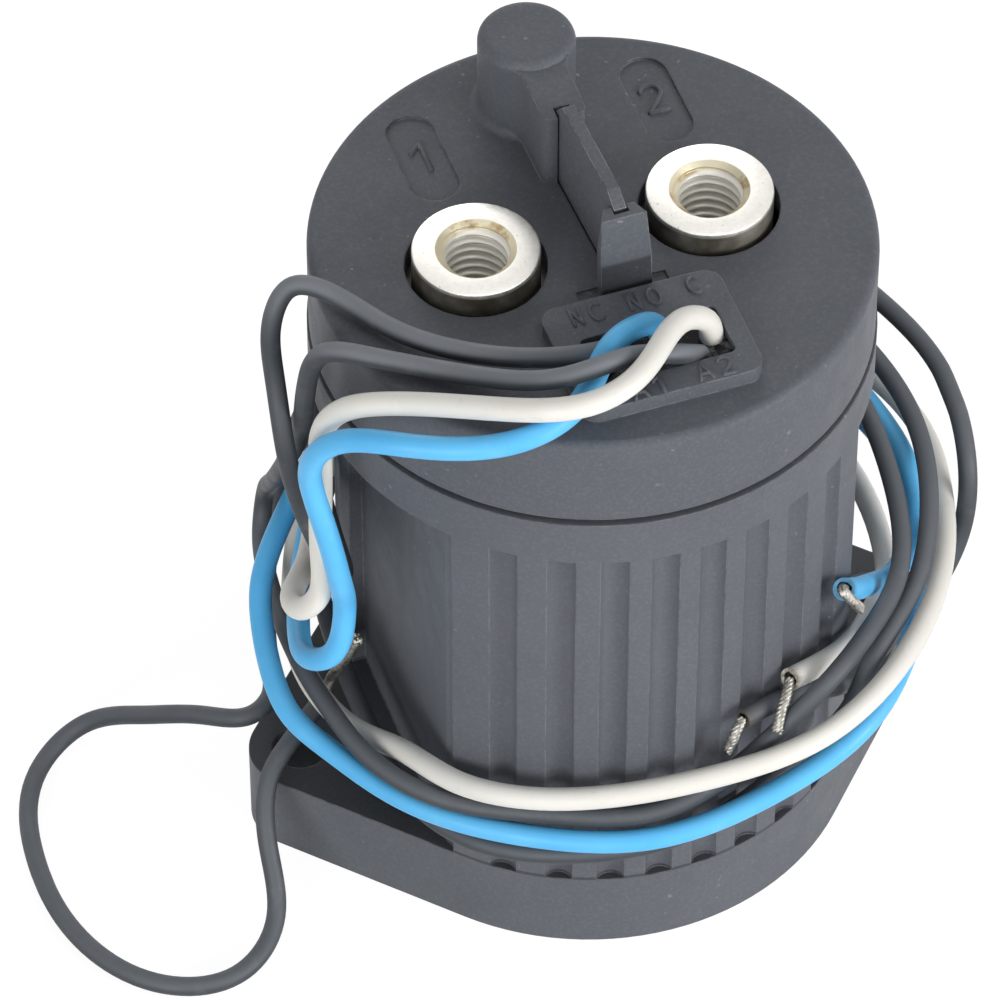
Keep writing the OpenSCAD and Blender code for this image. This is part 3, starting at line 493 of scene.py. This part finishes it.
BLUE = [
    (1.5, -17.5, 84), (0.5, -17.5, 86.5), (-2, -18.5, 88), (-6, -21, 88.5), (-9.5, -24.5, 87),
    (-14, -27, 86), (-20.5, -27, 85), (-29, -23, 84), (-34.5, -18, 81.5), (-37, -15, 76.5), (-37, -14, 71),
    (-36, -15.5, 65), (-34.5, -15.5, 56), (-33.5, -13.5, 48.5), (-35, -14, 43), (-37, -11.5, 40),
    (-36.5, -6, 38), (-33, 3.5, 37.2), (-27.2, 15.5, 37.5), (-24.3, 22.3, 37.2), (-16.5, 29.5, 36.3),
    (0, 33.5, 33), (18, 30, 30.5), (33.5, 20.5, 28.5), (39.5, 3, 28), (36.5, -12, 28.5), (30, -23, 28.5),
    (21, -32, 28), (9, -34.5, 24), (-5, -34.5, 22), (-17, -30, 22), (-25, -24.1, 21.7),
    (-30.5, -17.8, 21.8), (-35, -11, 23), (-37.8, -6, 24.5), (-38.3, -0.5, 26.7), (-37.5, 5, 29),
    (-36.2, 8.5, 31.4), (-30.4, 15.8, 34.2), (-22, 26.3, 33), (-8, 36.5, 33), (11, 36.5, 38), (28, 24, 40),
    (35, 4, 40), (36.5, -5, 38), (36, -9.5, 33), (33, -13, 31), (27, -18.9, 36), (23.4, -22.8, 40.8),
    (20.5, -25.8, 45)]
WHITE = [
    (6.5, -19, 84), (6, -19, 86.5), (3, -20, 89), (-1, -23.5, 90), (-5, -27, 90), (-11, -28.5, 89.5),
    (-20, -24, 87.5), (-28, -18, 85), (-33, -15, 83), (-35, -12.5, 78), (-35, -11, 70), (-35.5, -12, 58),
    (-36, -12.5, 51.5), (-37.5, -11, 48), (-37.5, -7, 45.5), (-34, -1, 43), (-29.5, 9, 42),
    (-23.5, 23.5, 40.5), (-10, 32, 38), (5, 33, 36), (20, 30, 34.5), (36.5, 19, 33), (42, 5.5, 32.5),
    (40.5, -6, 33.5), (36, -17.5, 34), (26.5, -29, 34), (14.5, -35.5, 33), (2, -35, 30.5), (-14, -31, 28.5),
    (-24, -24, 27.4), (-27.8, -16, 25.4), (-30.8, -9.5, 22.6), (-32.8, -2.5, 21), (-33.2, 5, 20.5),
    (-32, 11, 20.8), (-30.2, 16, 22), (-27.5, 21, 25), (-19, 28.5, 28), (0, 33.5, 29), (19, 28.5, 26.5),
    (34.5, 13, 23.5), (34, -6.5, 23), (29, -15.5, 28), (21.5, -25, 34), (12.5, -30.5, 38)]
STRAND_BLACK_1 = [(6.4, -32.3, 35.7), (5.4, -33, 35), (4.8, -33.2, 33.5), (4.3, -33.1, 32)]
STRAND_BLACK_2 = [(-31.8, 0.6, 17.6), (-31, 0.9, 19.8), (-29.8, -1, 25), (-28.3, -2.6, 30.5)]
STRAND_BLUE = [(20.5, -25.8, 45), (20, -26.6, 45.8), (20.8, -27, 44.5), (22.2, -26.6, 42)]
STRAND_WHITE = [(12.5, -30.5, 38), (11.8, -31.7, 37.7), (10.6, -33.2, 36.6), (9.6, -34.3, 34.2)]


def make_strands(name, route, material):
    """Bunched wires twisted together along the route round a core, opening a little at the tip."""
    path = smooth_route(route, 20)
    rings = frames_along(path)
    total = path_length(path)
    verts, faces = [], []
    bunches, bunch_r, turn, core_r = 7, 0.215 * MM, 3.6 * MM, 0.40 * MM
    for w in range(bunches + 1):
        lay = core_r if w < bunches else 0.0
        line, run = [], 0.0
        for i, (point, _, u, v) in enumerate(rings):
            run += (path[i] - path[i - 1]).length if i else 0.0
            angle = 2.0 * math.pi * (w / bunches + run / turn)
            opened = 1.0 + 0.30 * max(0.0, run / total - 0.80) / 0.20 * ((w * 5) % 7) / 6.0
            wander = 1.0 + 0.12 * math.sin(5.0 * run / MM + 2.3 * w)
            line.append(point + (u * math.cos(angle) + v * math.sin(angle)) * lay * opened * wander)
        cut = len(line) - (w * 3) % 4
        tube_data(line[:cut], bunch_r, 10, verts, faces)
    return add_mesh(name, verts, faces, material)


def held_inside(point, margin):
    """The point kept a margin away from the sides of the CAD box."""
    low, high = cad_box
    return Vector([min(max(at, a + margin), b - margin) for at, a, b in zip(point, low, high)])


def make_lead(name, node, route, diameter, material, strand_node, strand_route):
    """One flying lead with its stripped end: the cut face has a bore that the strands come out of, its
    floor a dark disc of painted shade.
    """
    sides, r = 20, diameter / 2.0
    bore_depth, soot_reach = 0.6 * MM, 2.6 * MM
    path = [held_inside(point, r) for point in smooth_route(route, 10)]
    verts, faces = [], []
    tube_data(path, r, sides, verts, faces)
    faces.pop()
    point, tangent, u, v = frames_along(path)[-1]
    rim = len(verts) - sides
    for radius, back in ((0.66 * r, 0.0), (0.60 * r, bore_depth)):
        for k in range(sides):
            a = 2.0 * math.pi * k / sides
            uneven = 1.0 + 0.08 * math.sin(3.0 * a + 1.0) + 0.05 * math.sin(7.0 * a)
            verts.append(point - tangent * back + (u * math.cos(a) + v * math.sin(a)) * radius * uneven)
    for row in (rim, rim + sides):
        for k in range(sides):
            n = (k + 1) % sides
            faces.append((row + k, row + n, row + sides + n, row + sides + k))
    faces.append(tuple(rim + 2 * sides + k for k in range(sides)))
    lead = add_mesh(name, verts, faces, material)
    # Painted shade: the bore's floor is a dark disc.
    lead.data.materials.append(BORE_SHADE)
    for polygon in lead.data.polygons[-sides - 1:]:
        polygon.material_index = 1
    lead.data.set_sharp_from_angle(angle=math.radians(50.0))
    cut = lead.data.attributes.new("cut_end", "FLOAT", "POINT")
    for i, vert in enumerate(lead.data.vertices):
        cut.data[i].value = max(0.0, 1.0 - (vert.co - point).length / soot_reach) if i > sides else 0.0
    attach(lead, "base")
    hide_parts(node)
    strands = make_strands(name + "_end", strand_route, TINNED)
    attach(strands, "base")
    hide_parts(strand_node)


LEADS = (
    ("black_1", BLACK_1, BLACK_D, BLACK_WIRE, "black_insulation", STRAND_BLACK_1),
    ("black_2", BLACK_2, BLACK_D, BLACK_WIRE, "black_insulation", STRAND_BLACK_2),
    ("blue", BLUE, COLOUR_D, BLUE_WIRE, "blue_insulation", STRAND_BLUE),
    ("white", WHITE, COLOUR_D, WHITE_WIRE, "white_insulation", STRAND_WHITE),
)
for lead_name, lead_route, lead_d, lead_material, lead_slot, end_route in LEADS:
    make_lead("wire_" + lead_name, "lead_" + lead_name, lead_route, lead_d * MM, lead_material,
              "strand_" + lead_name, end_route)


# terminals

def make_terminal(name, node, x):
    """A turned terminal with its stem down to the contact face. The rows of the bore follow its thread."""
    around, steps = 96, 170
    bottom = TERMINAL_TOP - BORE_DEPTH

    def ring(r, z):
        return lambda a: (r, z)

    def wall(z):
        def at(a):
            turn = ((z - bottom) / THREAD_PITCH - a / (2.0 * math.pi)) % 1.0
            ridge = abs(2.0 * turn - 1.0)
            lift = min(1.0, max(0.0, (ridge - 0.10) / 0.80))
            lift = lift * lift * (3.0 - 2.0 * lift)
            cone = MOUTH_R - (TERMINAL_TOP - z)
            return max(THREAD_MINOR + (THREAD_MAJOR - THREAD_MINOR) * lift, cone), z
        return at

    rows = [
        ring(STEM_R - 0.4, CONTACT_FACE), ring(STEM_R, CONTACT_FACE + 0.4), ring(STEM_R, FLANGE_BOTTOM),
        ring(TERMINAL_R, FLANGE_BOTTOM), ring(TERMINAL_R, TERMINAL_TOP - 0.30),
        ring(TERMINAL_R - 0.07, TERMINAL_TOP - 0.10), ring(TERMINAL_R - 0.25, TERMINAL_TOP),
        ring(MOUTH_R + 0.05, TERMINAL_TOP)]
    for i in range(steps + 1):
        rows.append(wall(TERMINAL_TOP - (TERMINAL_TOP - bottom) * i / steps))
    rows.append(ring(2.0, bottom - 0.4))
    verts, faces = [], []
    for row in rows:
        for k in range(around):
            a = 2.0 * math.pi * k / around
            r, z = row(a)
            verts.append(Vector((x + r * math.cos(a), r * math.sin(a), z)) * MM)
    for i in range(len(rows) - 1):
        for k in range(around):
            n = (k + 1) % around
            faces.append((i * around + k, i * around + n, (i + 1) * around + n, (i + 1) * around + k))
    end = (len(rows) - 1) * around
    faces.append(tuple(end + k for k in range(around)))
    faces.append(tuple(reversed(range(around))))
    obj = add_mesh(name, verts, faces, TERMINAL)
    obj.data.set_sharp_from_angle(angle=math.radians(40.0))
    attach(obj, "base")
    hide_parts(node)


make_terminal("terminal_disc_1", "terminal_1", -TERMINAL_X)
make_terminal("terminal_disc_2", "terminal_2", TERMINAL_X)


# springs

def make_spring(name, node, radius, wire, low, high, open_turns, end_turns):
    """A coil spring from low to high, with any close end turns."""
    steps, close = 28, 1.02 * wire * end_turns
    total = open_turns + 2.0 * end_turns
    path = []
    for i in range(round(total * steps) + 1):
        turn = i / steps
        if turn < end_turns:
            z = low + close * turn / end_turns
        elif turn > total - end_turns:
            z = high - close * (total - turn) / end_turns
        else:
            z = low + close + (high - low - 2.0 * close) * (turn - end_turns) / open_turns
        a = 2.0 * math.pi * turn
        path.append(Vector((radius * math.cos(a), radius * math.sin(a), z)) * MM)
    verts, faces = [], []
    tube_data(path, 0.5 * wire * MM, 10, verts, faces)
    obj = add_mesh(name, verts, faces, SHAFT_STEEL)
    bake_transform(obj)
    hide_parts(node)


make_spring("return_coil", "return_spring", SPRING_R, wire=0.6, low=28.1, high=39.4,
            open_turns=4.0, end_turns=1.0)
make_spring("contact_coil", "contact_spring", SPRING_R, wire=0.7, low=55.3, high=58.2,
            open_turns=2.5, end_turns=0.0)


# raised marks

def arc(cx, cy, rx, ry, start, stop, steps=14):
    """Points of an elliptic arc, angles in degrees."""
    turns = [math.radians(start + (stop - start) * i / steps) for i in range(steps + 1)]
    return [(cx + rx * math.cos(a), cy + ry * math.sin(a)) for a in turns]


GLYPHS = {
    "1": (0.34, [[(0.0, 0.72), (0.30, 0.98)], [(0.32, 1.0), (0.32, 0.0)]]),
    "2": (0.56, [arc(0.28, 0.71, 0.27, 0.29, 165, -35) + [(0.27, 0.28), (0.02, 0.0)],
                 [(0.02, 0.0), (0.56, 0.0)]]),
    "A": (0.60, [[(0.0, 0.0), (0.30, 1.0), (0.60, 0.0)], [(0.11, 0.34), (0.49, 0.34)]]),
    "C": (0.56, [arc(0.31, 0.5, 0.30, 0.5, 48, 312, 22)]),
    "N": (0.46, [[(0.02, 0.0), (0.02, 1.0)], [(0.02, 1.0), (0.44, 0.0)], [(0.44, 0.0), (0.44, 1.0)]]),
    "O": (0.56, [arc(0.28, 0.5, 0.27, 0.5, 90, 450, 28)]),
}


def make_mark(name, text, x, y, z, height, stroke, relief):
    """One raised mark on the cap: soft round ridges along the strokes of each sign."""
    gap = 0.42
    width = sum(GLYPHS[sign][0] for sign in text) + gap * (len(text) - 1)
    verts, faces = [], []
    left = -width / 2.0
    sides = 10
    for sign in text:
        for line in GLYPHS[sign][1]:
            path = [Vector((x + (left + px) * height, y + (py - 0.5) * height, z)) * MM for px, py in line]
            along = (path[1] - path[0]).normalized()
            path.insert(0, path[0] - along * 0.35 * stroke * MM)
            along = (path[-1] - path[-2]).normalized()
            path.append(path[-1] + along * 0.35 * stroke * MM)
            radius = [0.5 * stroke * MM] * len(path)
            radius[0] = radius[-1] = 0.22 * stroke * MM
            base = len(verts)
            tube_data(path, radius, sides, verts, faces)
            for vert in verts[base:]:
                vert.z = z * MM + (vert.z - z * MM) * relief / (0.5 * stroke)
        left += GLYPHS[sign][0] + gap
    obj = add_mesh(name, verts, faces, CAP)
    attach(obj, "base")


DIGITS = {"1": (-13.8, 17.4), "2": (13.4, 17.6)}
WORDS = {
    "NC": (-5.3, -12.5), "NO": (1.25, -12.4), "C": (6.95, -12.25), "A1": (-2.9, -24.6), "A2": (4.8, -24.35),
}
for text, place in DIGITS.items():
    make_mark("mark_" + text, text, *place, OVAL_FLOOR, height=4.2, stroke=0.64, relief=0.36)
for text, place in WORDS.items():
    make_mark("mark_" + text.lower(), text, *place, FRAME_TOP, height=2.45, stroke=0.42, relief=0.30)


# studio

def shown_rays(tree):
    """1 for rays that show the white background: straight from the camera, mirrored or passed through."""
    light = tree.nodes.new("ShaderNodeLightPath")
    total = light.outputs["Is Camera Ray"]
    for name in ("Is Glossy Ray", "Is Transmission Ray"):
        either = tree.nodes.new("ShaderNodeMath")
        either.operation = "MAXIMUM"
        tree.links.new(total, either.inputs[0])
        tree.links.new(light.outputs[name], either.inputs[1])
        total = either.outputs[0]
    return total


def make_floor():
    """A wide pale floor that stays white to the camera and keeps a faint shadow."""
    material = bpy.data.materials.new("floor_white")
    material.use_nodes = True
    tree = material.node_tree
    tree.nodes.clear()
    out = tree.nodes.new("ShaderNodeOutputMaterial")
    diffuse = tree.nodes.new("ShaderNodeBsdfDiffuse")
    diffuse.inputs["Color"].default_value = rgb(0.72, 0.72, 0.72)
    shown = tree.nodes.new("ShaderNodeBsdfDiffuse")
    shown.inputs["Color"].default_value = rgb(0.16, 0.16, 0.16)
    glow = tree.nodes.new("ShaderNodeEmission")
    glow.inputs["Color"].default_value = rgb(1.0, 1.0, 1.0)
    glow.inputs["Strength"].default_value = 0.92
    both = tree.nodes.new("ShaderNodeAddShader")
    pick = tree.nodes.new("ShaderNodeMixShader")
    link = tree.links.new
    link(shown.outputs[0], both.inputs[0])
    link(glow.outputs[0], both.inputs[1])
    link(shown_rays(tree), pick.inputs[0])
    link(diffuse.outputs[0], pick.inputs[1])
    link(both.outputs[0], pick.inputs[2])
    link(pick.outputs[0], out.inputs["Surface"])
    half = 3.0
    corners = [(-half, -half, 0), (half, -half, 0), (half, half, 0), (-half, half, 0)]
    floor = add_mesh("floor", corners, [(0, 1, 2, 3)], material, smooth=False)


def make_world():
    """An even dim light all round, with a white background."""
    world = bpy.data.worlds.new("studio")
    scene.world = world
    world.use_nodes = True
    tree = world.node_tree
    tree.nodes.clear()
    out = tree.nodes.new("ShaderNodeOutputWorld")
    dim = tree.nodes.new("ShaderNodeBackground")
    dim.inputs["Color"].default_value = rgb(1.0, 1.0, 1.0)
    dim.inputs["Strength"].default_value = 0.26
    white = tree.nodes.new("ShaderNodeBackground")
    white.inputs["Color"].default_value = rgb(1.0, 1.0, 1.0)
    white.inputs["Strength"].default_value = 1.0
    pick = tree.nodes.new("ShaderNodeMixShader")
    link = tree.links.new
    link(shown_rays(tree), pick.inputs[0])
    link(dim.outputs[0], pick.inputs[1])
    link(white.outputs[0], pick.inputs[2])
    link(pick.outputs[0], out.inputs["Surface"])


def make_light(name, position, size, power):
    """A round lamp that faces the middle of the part."""
    data = bpy.data.lights.new(name, "AREA")
    data.shape = "DISK"
    data.size = size
    data.energy = power
    obj = bpy.data.objects.new(name, data)
    obj.location = position
    aim = Vector((0.0, 0.0, 0.045)) - Vector(position)
    obj.rotation_euler = aim.to_track_quat("-Z", "Y").to_euler()
    scene.collection.objects.link(obj)


make_floor()
make_world()
make_light("light_front_right", (0.80, -0.95, 0.34), size=0.8, power=12.0)
make_light("light_front_left", (-0.85, -0.95, 0.34), size=0.8, power=9.4)
make_light("light_top", (0.2, -0.3, 1.4), size=0.9, power=3.0)
make_light("light_back", (0.2, 1.1, 0.5), size=0.8, power=4.0)

bpy.context.view_layer.update()
